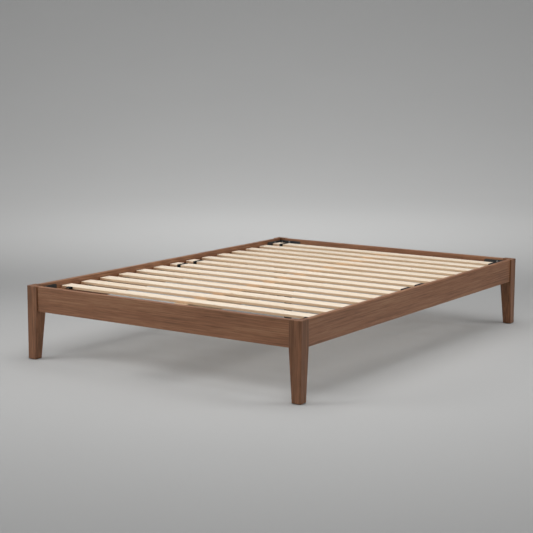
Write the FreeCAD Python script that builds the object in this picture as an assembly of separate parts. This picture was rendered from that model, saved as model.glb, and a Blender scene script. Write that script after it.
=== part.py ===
import FreeCAD, Part
import os

# A double bed frame for a 1400 x 2000 mm mattress, in millimetres.
# +Z is up, +X runs across the bed and +Y runs from its foot to its head.
# The origin is on the floor under the middle of the bed.

V = FreeCAD.Vector

# ---- Overall sizes, over the outer faces of the corner legs ----
bed_width = 1464.0
bed_length = 2064.0
bed_height = 338.0

# ---- Corner legs: square at the rails, tapered on their two inner faces below them ----
post_side = 59.0
leg_tip_side = 43.0
post_outer_radius = 5.0
post_edge_radius = 3.0
post_end_radius = 2.0

# ---- Nail-on glides under the corner legs ----
glide_radius = 16.0
glide_thickness = 2.5
glide_edge_radius = 1.0
glide_nail_radius = 1.25
glide_nail_length = 16.0

# ---- Rails, butted between the legs and set back from their faces and tops ----
rail_height = 113.5
rail_thickness = 22.0
rail_setback = 6.0
post_reveal = 1.5
rail_edge_radius = 2.5

# ---- Slats: two roll-out sets laid on the ledgers and the centre beam ----
slat_count = 14
slats_per_set = 7
slat_width = 68.0
slat_thickness = 12.0
slat_edge_radius = 2.0
slat_end_gap = 5.0
slat_drop = 21.5
head_gap = 20.0
foot_gap = 165.0

# ---- Ledgers screwed along the side rails ----
ledger_width = 30.0
ledger_height = 30.0
ledger_end_gap = 1.0
ledger_edge_radius = 2.0
ledger_screw_count = 7
ledger_screw_margin = 27.0
ledger_screw_length = 38.0
counterbore_radius = 5.0
counterbore_depth = 10.0

# ---- Webbing tape that ties each set of slats ----
tape_width = 22.0
tape_thickness = 1.2
tape_inset = 62.0
tail_length = 26.0
tail_droop = 3.0
staple_crown = 10.0
staple_wire = 1.0
staple_leg = 8.0

# ---- Corner brackets, bent from plate ----
bracket_arm = 135.0
bracket_thickness = 3.0
bracket_below_top = 10.0
bracket_above_bottom = 10.0
bracket_bend_radius = 4.0
bracket_tip_radius = 8.0
bracket_screw_margin = 9.0
post_screw_offset = 13.0
bolt_from_bend = 62.0
bolt_tip_margin = 17.0
relief_gap = 0.5
relief_end_gap = 2.0

# ---- Dowels that locate each rail end in its leg ----
dowel_radius = 4.0
dowel_depth = 20.0
dowel_from_edge = 38.0
dowel_end_gap = 1.0

# ---- Fasteners ----
bolt_radius = 3.0
bolt_head_radius = 6.0
bolt_length = 16.0
insert_radius = 5.0
insert_length = 13.5
post_screw_radius = 2.5
post_screw_head_radius = 5.0
post_screw_length = 22.0
wood_screw_radius = 2.25
wood_screw_head_radius = 4.5
wood_screw_head_height = 2.4
wood_screw_length = 18.0
socket_radius = 2.2
socket_depth = 1.6
fit_gap = 0.1
tip_gap = 1.0

# ---- Centre beam, its hangers and the leg under it ----
beam_width = 70.0
beam_height = 60.0
beam_edge_radius = 3.0
beam_end_gap = 1.0
hanger_thickness = 3.0
hanger_depth = 42.0
hanger_cheek_height = 46.0
hanger_ear = 24.0
hanger_side_gap = 0.5
hanger_screw_margin = 11.0
leg_plate_length = 104.0
leg_plate_inset = 4.0
leg_plate_thickness = 3.0
leg_plate_corner_radius = 8.0
leg_plate_screw_margin = 12.0
tube_radius = 19.0
tube_wall = 2.0
plug_flange = 3.0
plug_depth = 24.0
nut_flats = 13.0
nut_height = 6.5
nut_from_top = 4.0
stud_radius = 4.0
stud_gap = 0.3
stud_length = 62.0
collar_height = 5.0
pad_radius = 21.0
pad_thickness = 9.0
pad_edge_radius = 2.0
pad_socket_depth = 6.0
levelling_travel = 8.0

# ---- Heights and faces that follow from the sizes above ----
leg_bottom = glide_thickness
rail_top = bed_height - post_reveal
rail_bottom = rail_top - rail_height
lap_depth = rail_setback + rail_thickness
inner_x = bed_width / 2 - lap_depth
inner_y = bed_length / 2 - lap_depth
post_inner_x = bed_width / 2 - post_side
post_inner_y = bed_length / 2 - post_side
slat_top = rail_top - slat_drop
slat_bottom = slat_top - slat_thickness
ledger_bottom = slat_bottom - ledger_height
beam_bottom = slat_bottom - beam_height
slat_half_length = inner_x - slat_end_gap
slat_first = -inner_y + foot_gap
slat_last = inner_y - head_gap - slat_width
slat_pitch = (slat_last - slat_first) / (slat_count - 1)
bracket_top = rail_top - bracket_below_top
bracket_bottom = rail_bottom + bracket_above_bottom
screw_rows = (bracket_bottom + bracket_screw_margin, bracket_top - bracket_screw_margin)
dowel_rows = (rail_bottom + dowel_from_edge, rail_top - dowel_from_edge)
beam_half_length = inner_y - hanger_thickness - beam_end_gap
collar_bottom = pad_thickness + stud_gap
plug_bottom = collar_bottom + collar_height + levelling_travel
tube_bottom = plug_bottom + plug_flange
stud_bottom = pad_thickness - pad_socket_depth + stud_gap

UP = V(0, 0, 1)
corner_turns = {"head_right": 0, "head_left": 90, "foot_left": 180, "foot_right": 270}


def box(x0, x1, y0, y1, z0, z1):
    """Block between two corners."""
    return Part.makeBox(x1 - x0, y1 - y0, z1 - z0, V(x0, y0, z0))


def rod(radius, z0, z1, x=0.0, y=0.0):
    """Upright cylinder between two heights."""
    return Part.makeCylinder(radius, z1 - z0, V(x, y, z0))


def hexagon(flats, z0, z1):
    """Upright hexagonal prism of a given width across its flats."""
    outline = Part.makePolygon([
        FreeCAD.Rotation(UP, 60.0 * k).multVec(V(flats / 3 ** 0.5, 0, z0)) for k in range(7)])
    return Part.Face(outline).extrude(V(0, 0, z1 - z0))


def runs_along(edge, axis):
    """True for a straight edge parallel to an axis."""
    if len(edge.Vertexes) < 2 or edge.Curve.TypeId != "Part::GeomLine":
        return False
    span = edge.Vertexes[1].Point - edge.Vertexes[0].Point
    return span.cross(axis).Length < 1e-6


def round_edges(shape, radius, chosen):
    """Round the edges that a test picks out."""
    return shape.makeFillet(radius, [edge for edge in shape.Edges if chosen(edge)])


def rounded_bar(x0, x1, y0, y1, z0, z1, axis, radius):
    """Block whose four long edges are rounded."""
    return round_edges(box(x0, x1, y0, y1, z0, z1), radius, lambda edge: runs_along(edge, axis))


def aimed(shape, point, direction):
    """Copy of a shape drawn along +Z from the origin, laid along another direction."""
    turned = shape.copy()
    turned.Placement = FreeCAD.Placement(point, FreeCAD.Rotation(UP, direction))
    return turned


def flat_head_screw(radius, head_radius, length):
    """Countersunk screw with its head flush at z = 0, pointing along +Z."""
    head = Part.makeCone(head_radius, radius, head_radius - radius)
    socket = hexagon(2 * socket_radius, 0, socket_depth)
    return head.fuse(rod(radius, 0, length)).removeSplitter().cut(socket)


def flat_head_hole(radius, head_radius, length):
    """Clearance for a countersunk screw, with a tip gap at its far end."""
    head_depth = head_radius - radius
    sink = Part.makeCone(head_radius + fit_gap, radius + fit_gap, head_depth)
    return sink.fuse(rod(radius + fit_gap, -tip_gap, length + tip_gap))


def pan_head_screw(length):
    """Round-headed wood screw with its head below z = 0 and its shank along +Z."""
    head = rod(wood_screw_head_radius, -wood_screw_head_height, 0)
    head = round_edges(head, wood_screw_head_height / 2, lambda edge: edge.CenterOfMass.z < -1)
    socket = hexagon(2 * socket_radius, -wood_screw_head_height, socket_depth - wood_screw_head_height)
    return head.fuse(rod(wood_screw_radius, 0, length)).removeSplitter().cut(socket)


def screw_hole(length):
    """Clearance for the shank of a round-headed wood screw."""
    return rod(wood_screw_radius + fit_gap, -tip_gap, length + tip_gap)


def both_arms(shapes):
    """Shapes of one bracket arm and their reflections for the other arm."""
    return shapes + [shape.mirror(V(0, 0, 0), V(1, -1, 0)) for shape in shapes]


def to_corner(shape, corner):
    """Carry a shape drawn about the outer corner of a leg to one corner of the bed."""
    turn = FreeCAD.Rotation(UP, corner_turns[corner])
    outward = turn.multVec(V(1, 1, 0))
    place = V(outward.x * bed_width / 2, outward.y * bed_length / 2, 0)
    return shape.transformed(FreeCAD.Placement(place, turn).toMatrix(), True)


def to_all_corners(shapes):
    """Copies of corner shapes at the four corners."""
    return [to_corner(shape, corner) for corner in corner_turns for shape in shapes]


def mirrored_in_x(shapes):
    """Shapes with their reflections on the other side of the bed."""
    return shapes + [shape.mirror(V(0, 0, 0), V(1, 0, 0)) for shape in shapes]


def mirrored_in_y(shapes):
    """Shapes with their reflections at the other end of the bed."""
    return shapes + [shape.mirror(V(0, 0, 0), V(0, 1, 0)) for shape in shapes]


def cut_all(shape, cutters):
    """Shape with a list of cutters taken out of it."""
    return shape.cut(Part.makeCompound(cutters))


# ---- Corner hardware, drawn about the outer corner of a leg at x = y = 0 ----

plate_face = -lap_depth - bracket_thickness


def arm_points(offsets_and_rows):
    """Points on the bracket's face, at distances from its bend."""
    return [V(plate_face, -lap_depth - offset, z) for offset, z in offsets_and_rows]


bolt_offsets = (bolt_from_bend, bracket_arm - bolt_tip_margin)
bolt_points = arm_points(list(zip(bolt_offsets, reversed(screw_rows))))
post_screw_points = arm_points([(post_screw_offset, z) for z in screw_rows])
wood_face = V(bracket_thickness, 0, 0)


def corner_bolts():
    """Countersunk bolts through the bracket into the rails."""
    bolt = flat_head_screw(bolt_radius, bolt_head_radius, bolt_length)
    return both_arms([aimed(bolt, point, V(1, 0, 0)) for point in bolt_points])


def corner_bolt_holes():
    """Holes for the bolts in the bracket."""
    hole = flat_head_hole(bolt_radius, bolt_head_radius, bolt_length)
    return both_arms([aimed(hole, point, V(1, 0, 0)) for point in bolt_points])


def corner_inserts():
    """Threaded inserts let into the rails behind the bracket."""
    insert = rod(insert_radius, 0, insert_length).cut(rod(bolt_radius + fit_gap, 0, insert_length))
    return both_arms([aimed(insert, point + wood_face, V(1, 0, 0)) for point in bolt_points])


def corner_insert_holes():
    """Blind holes for the inserts."""
    hole = rod(insert_radius + fit_gap, -tip_gap, insert_length + tip_gap)
    return both_arms([aimed(hole, point + wood_face, V(1, 0, 0)) for point in bolt_points])


def corner_post_screws():
    """Countersunk screws through the bracket into the leg."""
    screw = flat_head_screw(post_screw_radius, post_screw_head_radius, post_screw_length)
    return both_arms([aimed(screw, point, V(1, 0, 0)) for point in post_screw_points])


def corner_post_screw_holes():
    """Holes for the post screws in the bracket and the leg."""
    hole = flat_head_hole(post_screw_radius, post_screw_head_radius, post_screw_length)
    return both_arms([aimed(hole, point, V(1, 0, 0)) for point in post_screw_points])


def dowel_along_rail(radius, end_gap):
    """Cylinders across the joint between a leg and a side rail, at both dowel heights."""
    middle = -rail_setback - rail_thickness / 2
    start = -post_side - dowel_depth + end_gap
    length = 2 * dowel_depth - end_gap
    return [aimed(rod(radius, 0, length), V(middle, start, z), V(0, 1, 0)) for z in dowel_rows]


def corner_dowels():
    """Dowels of both rails, short of the bottom of their rail holes."""
    return both_arms(dowel_along_rail(dowel_radius, dowel_end_gap))


def corner_dowel_holes():
    """Dowel holes of both rails."""
    return both_arms(dowel_along_rail(dowel_radius + fit_gap, 0.0))


def bracket_body():
    """Bent plate that wraps the inner corner of leg and rails."""
    reach = -lap_depth - bracket_arm
    arm_y = box(plate_face, -lap_depth, reach, -lap_depth, bracket_bottom, bracket_top)
    arm_x = box(reach, -lap_depth, plate_face, -lap_depth, bracket_bottom, bracket_top)
    plate = arm_y.fuse(arm_x).removeSplitter()

    def is_bend(edge):
        middle = edge.CenterOfMass
        on_wood = abs(middle.x + lap_depth) < 1e-6 and abs(middle.y + lap_depth) < 1e-6
        return runs_along(edge, UP) and on_wood

    def is_tip(edge):
        middle = edge.CenterOfMass
        across = runs_along(edge, V(1, 0, 0)) or runs_along(edge, V(0, 1, 0))
        at_end = min(middle.x, middle.y) < reach + 1e-6
        return across and at_end and edge.Length < 2 * bracket_thickness

    plate = round_edges(plate, bracket_bend_radius, is_bend)
    plate = round_edges(plate, bracket_tip_radius, is_tip)
    return cut_all(plate, corner_bolt_holes() + corner_post_screw_holes())


def glide_place():
    """Centre of the leg's tip."""
    return V(-leg_tip_side / 2, -leg_tip_side / 2, 0)


def leg_body():
    """Corner leg: two outer faces upright, two inner faces tapered below the rail."""
    def taper(across):
        corners = [(0, leg_bottom), (0, bed_height), (-post_side, bed_height),
                   (-post_side, rail_bottom), (-leg_tip_side, leg_bottom), (0, leg_bottom)]
        outline = Part.makePolygon([across * s + UP * z for s, z in corners])
        return Part.Face(outline)

    leg = taper(V(1, 0, 0)).extrude(V(0, -post_side, 0))
    leg = leg.common(taper(V(0, 1, 0)).extrude(V(-post_side, 0, 0)))
    rabbet = box(-post_side - 1, -lap_depth, -post_side - 1, -lap_depth, rail_bottom, bed_height + 1)
    leg = leg.cut(rabbet)

    def is_outer_edge(edge):
        middle = edge.CenterOfMass
        return runs_along(edge, UP) and abs(middle.x) < 1e-6 and abs(middle.y) < 1e-6

    def is_side_edge(edge):
        middle = edge.CenterOfMass
        upright = edge.BoundBox.ZLength > rail_height / 2
        in_lap = min(middle.x, middle.y) < -lap_depth and max(middle.x, middle.y) > -1e-6
        inner = max(middle.x, middle.y) < -lap_depth and middle.z < rail_bottom
        return upright and (in_lap or inner)

    def is_end_edge(edge):
        middle = edge.CenterOfMass
        flat = edge.BoundBox.ZLength < 1e-6
        at_top = abs(middle.z - bed_height) < 1e-6 and max(middle.x, middle.y) > -lap_depth + 1
        at_tip = abs(middle.z - leg_bottom) < 1e-6
        return flat and (at_top or at_tip)

    leg = round_edges(leg, post_outer_radius, is_outer_edge)
    leg = round_edges(leg, post_edge_radius, is_side_edge)
    leg = round_edges(leg, post_end_radius, is_end_edge)
    centre = glide_place()
    nail_hole = rod(glide_nail_radius + fit_gap, leg_bottom, leg_bottom + glide_nail_length + tip_gap,
                    centre.x, centre.y)
    return cut_all(leg, corner_post_screw_holes() + corner_dowel_holes() + [nail_hole])


def glide_body():
    """Round glide with the nail that holds it in the leg's tip."""
    centre = glide_place()
    disc = rod(glide_radius, 0, glide_thickness, centre.x, centre.y)
    disc = round_edges(disc, glide_edge_radius, lambda edge: edge.CenterOfMass.z < 1e-6)
    nail = rod(glide_nail_radius, glide_thickness, glide_thickness + glide_nail_length,
               centre.x, centre.y)
    return disc.fuse(nail).removeSplitter()


# ---- Rails and ledgers ----

ledger_half = inner_y - bracket_thickness - ledger_end_gap
relief_start = inner_y - bracket_arm - relief_end_gap
ledger_screw_span = 2 * (relief_start - ledger_screw_margin)
ledger_screw_ys = [-ledger_screw_span / 2 + ledger_screw_span * k / (ledger_screw_count - 1)
                   for k in range(ledger_screw_count)]
ledger_face = inner_x - ledger_width
ledger_middle = slat_bottom - ledger_height / 2


def ledger_screw_points():
    """Where the heads of the right ledger's screws seat, at the bottom of their counterbores."""
    return [V(ledger_face + counterbore_depth, y, ledger_middle) for y in ledger_screw_ys]


def right_ledger_screws():
    screw = pan_head_screw(ledger_screw_length)
    return [aimed(screw, point, V(1, 0, 0)) for point in ledger_screw_points()]


def right_ledger_holes():
    hole = screw_hole(ledger_screw_length)
    return [aimed(hole, point, V(1, 0, 0)) for point in ledger_screw_points()]


def right_ledger():
    """Ledger bar, hollowed behind to pass over the corner brackets."""
    bar = rounded_bar(ledger_face, inner_x, -ledger_half, ledger_half, ledger_bottom, slat_bottom,
                      V(0, 1, 0), ledger_edge_radius)
    sinks = [aimed(rod(counterbore_radius, 0, counterbore_depth), V(ledger_face, y, ledger_middle),
                   V(1, 0, 0)) for y in ledger_screw_ys]
    relief = box(inner_x - bracket_thickness - relief_gap, inner_x + 1, relief_start, inner_y,
                 ledger_bottom - 1, slat_bottom + 1)
    return cut_all(bar, right_ledger_holes() + sinks + mirrored_in_y([relief]))


def hanger_screw_points():
    """Where the screws of the head beam hanger pass its ears."""
    x = beam_width / 2 + hanger_side_gap + hanger_thickness + hanger_ear - hanger_screw_margin
    heights = (beam_bottom + hanger_screw_margin, slat_bottom - hanger_screw_margin)
    return [V(side * x, inner_y - hanger_thickness, z) for side in (-1, 1) for z in heights]


def head_hanger_holes():
    hole = screw_hole(wood_screw_length)
    return [aimed(hole, point, V(0, 1, 0)) for point in hanger_screw_points()]


def side_rail():
    """Right side rail."""
    bar = rounded_bar(inner_x, bed_width / 2 - rail_setback, -post_inner_y, post_inner_y,
                      rail_bottom, rail_top, V(0, 1, 0), rail_edge_radius)
    return cut_all(bar, to_all_corners(corner_insert_holes() + corner_dowel_holes())
                   + right_ledger_holes())


def end_rail():
    """Head rail."""
    bar = rounded_bar(-post_inner_x, post_inner_x, inner_y, bed_length / 2 - rail_setback,
                      rail_bottom, rail_top, V(1, 0, 0), rail_edge_radius)
    return cut_all(bar, to_all_corners(corner_insert_holes() + corner_dowel_holes())
                   + head_hanger_holes())


# ---- Slats and the tape that ties them ----

tape_x = inner_x - tape_inset


def slat_section(y, grown):
    """Piece of a slat as long as the tape is wide, grown outwards by a margin, at the right-hand tape."""
    bar = rounded_bar(0, tape_width, y - grown, y + slat_width + grown,
                      slat_bottom - grown, slat_top + grown, V(1, 0, 0), slat_edge_radius + grown)
    return bar.translated(V(tape_x - tape_width / 2, 0, 0))


def staple_legs(y):
    """Legs of one staple under a slat's middle on the right-hand tape."""
    middle = y + slat_width / 2
    half = staple_crown / 2
    low = slat_bottom - tape_thickness
    return [box(tape_x - staple_wire / 2, tape_x + staple_wire / 2,
                middle + side * (half - staple_wire / 2) - staple_wire / 2,
                middle + side * (half - staple_wire / 2) + staple_wire / 2,
                low, slat_bottom + staple_leg) for side in (-1, 1)]


def staple(y):
    """Staple that pins the tape to a slat from below."""
    middle = y + slat_width / 2
    low = slat_bottom - tape_thickness
    crown = box(tape_x - staple_wire / 2, tape_x + staple_wire / 2,
                middle - staple_crown / 2, middle + staple_crown / 2, low - staple_wire, low)
    return crown.multiFuse(staple_legs(y)).removeSplitter()


def slat(y):
    """Slat with its long edges eased."""
    bar = rounded_bar(-slat_half_length, slat_half_length, y, y + slat_width,
                      slat_bottom, slat_top, V(1, 0, 0), slat_edge_radius)
    return cut_all(bar, mirrored_in_x(staple_legs(y)))


def tape_run(y0, y1):
    """Stretch of the right-hand tape along the undersides of the slats."""
    return box(tape_x - tape_width / 2, tape_x + tape_width / 2, y0, y1,
               slat_bottom - tape_thickness, slat_bottom)


def tape_loops(ys):
    """Turns of the right-hand tape round whole slats."""
    return [slat_section(y, tape_thickness).cut(slat_section(y, 0.0)) for y in ys]


def tape_tail(y):
    """Loose end of the right-hand tape: up the first slat's front, then forwards, drooping a little."""
    front = y - tape_thickness
    tip = y - tail_length
    outline = Part.makePolygon([
        V(0, y, slat_bottom - tape_thickness), V(0, y, slat_top), V(0, tip, slat_top - tail_droop),
        V(0, tip, slat_top - tail_droop - tape_thickness), V(0, front, slat_top - tape_thickness),
        V(0, front, slat_bottom - tape_thickness), V(0, y, slat_bottom - tape_thickness)])
    tail = Part.Face(outline).extrude(V(tape_width, 0, 0))
    return tail.translated(V(tape_x - tape_width / 2, 0, 0))


def right_foot_tape(ys):
    """Tape of the foot set, with a loose end before its first slat and a loop round its last."""
    run = tape_run(ys[0], ys[-1] + slat_width - slat_edge_radius)
    tape = run.multiFuse([tape_tail(ys[0])] + tape_loops(ys[-1:])).removeSplitter()
    return cut_all(tape, [leg for y in ys for leg in staple_legs(y)])


def right_head_tape(ys):
    """Tape of the head set, looped round its first and last slat."""
    run = tape_run(ys[0] + slat_edge_radius, ys[-1] + slat_width - slat_edge_radius)
    tape = run.multiFuse(tape_loops((ys[0], ys[-1]))).removeSplitter()
    return cut_all(tape, [leg for y in ys for leg in staple_legs(y)])


# ---- Centre beam, hangers and centre leg ----

cheek_inner = beam_width / 2 + hanger_side_gap
cheek_outer = cheek_inner + hanger_thickness


def beam_screw_points():
    """Where the screws of the head hanger's right cheek enter the beam."""
    y = inner_y - hanger_depth + hanger_screw_margin
    return [V(cheek_outer, y, beam_bottom + hanger_cheek_height / 2)]


def head_hanger():
    """Folded saddle that carries the beam's end: back plate with ears, floor and two cheeks."""
    plate = box(-cheek_outer - hanger_ear, cheek_outer + hanger_ear,
                inner_y - hanger_thickness, inner_y, beam_bottom - hanger_thickness, slat_bottom)
    floor = box(-cheek_outer, cheek_outer, inner_y - hanger_depth, inner_y - hanger_thickness,
                beam_bottom - hanger_thickness, beam_bottom)
    cheek = box(cheek_inner, cheek_outer, inner_y - hanger_depth, inner_y - hanger_thickness,
                beam_bottom, beam_bottom + hanger_cheek_height)
    saddle = plate.multiFuse([floor] + mirrored_in_x([cheek])).removeSplitter()

    def is_cheek_tip(edge):
        middle = edge.CenterOfMass
        return (runs_along(edge, V(1, 0, 0)) and middle.y < inner_y - hanger_depth + 1e-6
                and middle.z > beam_bottom + 1)

    saddle = round_edges(saddle, bracket_tip_radius, is_cheek_tip)
    return cut_all(saddle, head_hanger_holes() + mirrored_in_x(right_beam_screw_holes()))


def right_beam_screw_holes():
    hole = screw_hole(wood_screw_length)
    return [aimed(hole, point, V(-1, 0, 0)) for point in beam_screw_points()]


def head_hanger_screws():
    """Screws through the ears into the head rail and through the cheeks into the beam."""
    screw = pan_head_screw(wood_screw_length)
    ears = [aimed(screw, point, V(0, 1, 0)) for point in hanger_screw_points()]
    cheeks = [aimed(screw, point, V(-1, 0, 0)) for point in beam_screw_points()]
    return ears + mirrored_in_x(cheeks)


plate_bottom = beam_bottom - leg_plate_thickness
plate_half_x = beam_width / 2 - leg_plate_inset
plate_half_y = leg_plate_length / 2


def leg_plate_points():
    x = plate_half_x - leg_plate_screw_margin
    y = plate_half_y - leg_plate_screw_margin
    return [V(sx * x, sy * y, plate_bottom) for sx in (-1, 1) for sy in (-1, 1)]


def leg_plate_holes():
    return [aimed(screw_hole(wood_screw_length), point, UP) for point in leg_plate_points()]


def centre_beam():
    """Beam along the middle of the bed, under the slats."""
    bar = rounded_bar(-beam_width / 2, beam_width / 2, -beam_half_length, beam_half_length,
                      beam_bottom, slat_bottom, V(0, 1, 0), beam_edge_radius)
    sides = mirrored_in_y(mirrored_in_x(right_beam_screw_holes()))
    return cut_all(bar, leg_plate_holes() + sides)


def centre_leg():
    """Tube welded to the plate that is screwed under the beam."""
    plate = rounded_bar(-plate_half_x, plate_half_x, -plate_half_y, plate_half_y,
                        plate_bottom, beam_bottom, UP, leg_plate_corner_radius)
    tube = rod(tube_radius, tube_bottom, plate_bottom)
    tube = tube.cut(rod(tube_radius - tube_wall, tube_bottom, plate_bottom))
    return cut_all(plate.fuse(tube), leg_plate_holes())


def leg_plug():
    """Plug in the tube's end, with a pocket for the nut and a way through for the stud."""
    flange = rod(tube_radius, plug_bottom, tube_bottom)
    barrel = rod(tube_radius - tube_wall - fit_gap, tube_bottom, tube_bottom + plug_depth)
    pocket = hexagon(nut_flats + 2 * fit_gap, nut_bottom, tube_bottom + plug_depth)
    way = rod(stud_radius + stud_gap, plug_bottom, tube_bottom + plug_depth)
    return flange.fuse(barrel).removeSplitter().cut(pocket).cut(way)


nut_bottom = tube_bottom + plug_depth - nut_from_top - nut_height


def leg_nut():
    """Hexagonal nut in the plug."""
    nut = hexagon(nut_flats, nut_bottom, nut_bottom + nut_height)
    return nut.cut(rod(stud_radius + stud_gap, nut_bottom, nut_bottom + nut_height))


def levelling_stud():
    """Threaded stud with the hexagonal collar that turns it."""
    shank = rod(stud_radius, stud_bottom, stud_bottom + stud_length)
    collar = hexagon(nut_flats, collar_bottom, collar_bottom + collar_height)
    return shank.fuse(collar).removeSplitter()


def levelling_pad():
    """Round pad on the floor, with the socket in which the stud turns."""
    disc = rod(pad_radius, 0, pad_thickness)
    disc = round_edges(disc, pad_edge_radius, lambda edge: edge.Curve.TypeId == "Part::GeomCircle")
    socket = rod(stud_radius + stud_gap, pad_thickness - pad_socket_depth, pad_thickness)
    return disc.cut(socket)


# ---- Nodes ----

parts = {}

leg = leg_body()
glide = glide_body()
bracket = bracket_body()
for corner in corner_turns:
    parts["leg_" + corner] = to_corner(leg, corner)
    parts["glide_" + corner] = to_corner(glide, corner)
    parts["bracket_" + corner] = to_corner(bracket, corner)

rail = side_rail()
ledger = right_ledger()
parts["right_rail"], parts["left_rail"] = mirrored_in_x([rail])
parts["right_ledger"], parts["left_ledger"] = mirrored_in_x([ledger])
parts["head_rail"], parts["foot_rail"] = mirrored_in_y([end_rail()])

slat_ys = [slat_first + slat_pitch * k for k in range(slat_count)]
for number, y in enumerate(slat_ys, 1):
    parts["slat_%02d" % number] = slat(y)

foot_tape = right_foot_tape(slat_ys[:slats_per_set])
head_tape = right_head_tape(slat_ys[slats_per_set:])
parts["tape_foot_right"], parts["tape_foot_left"] = mirrored_in_x([foot_tape])
parts["tape_head_right"], parts["tape_head_left"] = mirrored_in_x([head_tape])
parts["tape_staples"] = Part.makeCompound(mirrored_in_x([staple(y) for y in slat_ys]))

parts["centre_beam"] = centre_beam()
parts["hanger_head"], parts["hanger_foot"] = mirrored_in_y([head_hanger()])
parts["centre_leg"] = centre_leg()
parts["leg_plug"] = leg_plug()
parts["leg_nut"] = leg_nut()
parts["levelling_stud"] = levelling_stud()
parts["levelling_pad"] = levelling_pad()

plate_screw = pan_head_screw(wood_screw_length)
plate_screws = [aimed(plate_screw, point, UP) for point in leg_plate_points()]
parts["bracket_bolts"] = Part.makeCompound(to_all_corners(corner_bolts()))
parts["rail_inserts"] = Part.makeCompound(to_all_corners(corner_inserts()))
parts["post_screws"] = Part.makeCompound(to_all_corners(corner_post_screws()))
parts["rail_dowels"] = Part.makeCompound(to_all_corners(corner_dowels()))
parts["ledger_screws"] = Part.makeCompound(mirrored_in_x(right_ledger_screws()))
parts["hanger_screws"] = Part.makeCompound(mirrored_in_y(head_hanger_screws()))
parts["leg_plate_screws"] = Part.makeCompound(plate_screws)

os.makedirs("parts", exist_ok=True)
for name, shape in parts.items():
    shape.exportStep("parts/" + name + ".step")
    print(name, "solids:", len(shape.Solids), "valid:", shape.isValid())
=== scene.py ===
import math

import bmesh
import bpy
import numpy as np
from mathutils import Euler, Matrix, Vector


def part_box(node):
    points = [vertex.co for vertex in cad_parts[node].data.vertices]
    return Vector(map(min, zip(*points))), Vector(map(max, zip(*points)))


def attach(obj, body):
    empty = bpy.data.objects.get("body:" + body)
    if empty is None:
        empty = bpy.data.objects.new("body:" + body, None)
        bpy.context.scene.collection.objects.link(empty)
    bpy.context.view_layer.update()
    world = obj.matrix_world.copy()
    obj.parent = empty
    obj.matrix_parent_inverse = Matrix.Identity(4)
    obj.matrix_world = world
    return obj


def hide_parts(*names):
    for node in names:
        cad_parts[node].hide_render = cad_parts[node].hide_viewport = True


bl_info = {
    "name": "Slatted Double Bed",
    "version": (1, 0, 0),
    "blender": (4, 5, 0),
    "location": "View3D > Sidebar > Bed",
    "description": "Finishes a low slatted bed frame: lacquered walnut, bare pine, black hardware",
    "category": "Object",
}

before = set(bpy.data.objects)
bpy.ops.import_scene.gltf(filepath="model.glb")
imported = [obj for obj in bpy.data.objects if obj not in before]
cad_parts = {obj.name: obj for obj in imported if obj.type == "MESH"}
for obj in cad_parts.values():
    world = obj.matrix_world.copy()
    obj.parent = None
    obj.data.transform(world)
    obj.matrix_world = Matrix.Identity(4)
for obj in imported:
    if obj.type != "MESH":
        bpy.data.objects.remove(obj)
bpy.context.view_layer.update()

MM = 0.001
CORNERS = ("head_right", "head_left", "foot_left", "foot_right")
SLATS = sorted(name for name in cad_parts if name.startswith("slat_"))
TAPES = ("tape_foot_left", "tape_foot_right", "tape_head_left", "tape_head_right")


def linear(colour):
    """Linear RGBA of an sRGB hex colour."""
    levels = np.array([int(colour[k:k + 2], 16) for k in (1, 3, 5)]) / 255
    low = levels / 12.92
    high = ((levels + 0.055) / 1.055) ** 2.4
    return (*np.where(levels <= 0.04045, low, high).tolist(), 1.0)


# ---------------------------------------------------------------- sizes and colours to change


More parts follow.
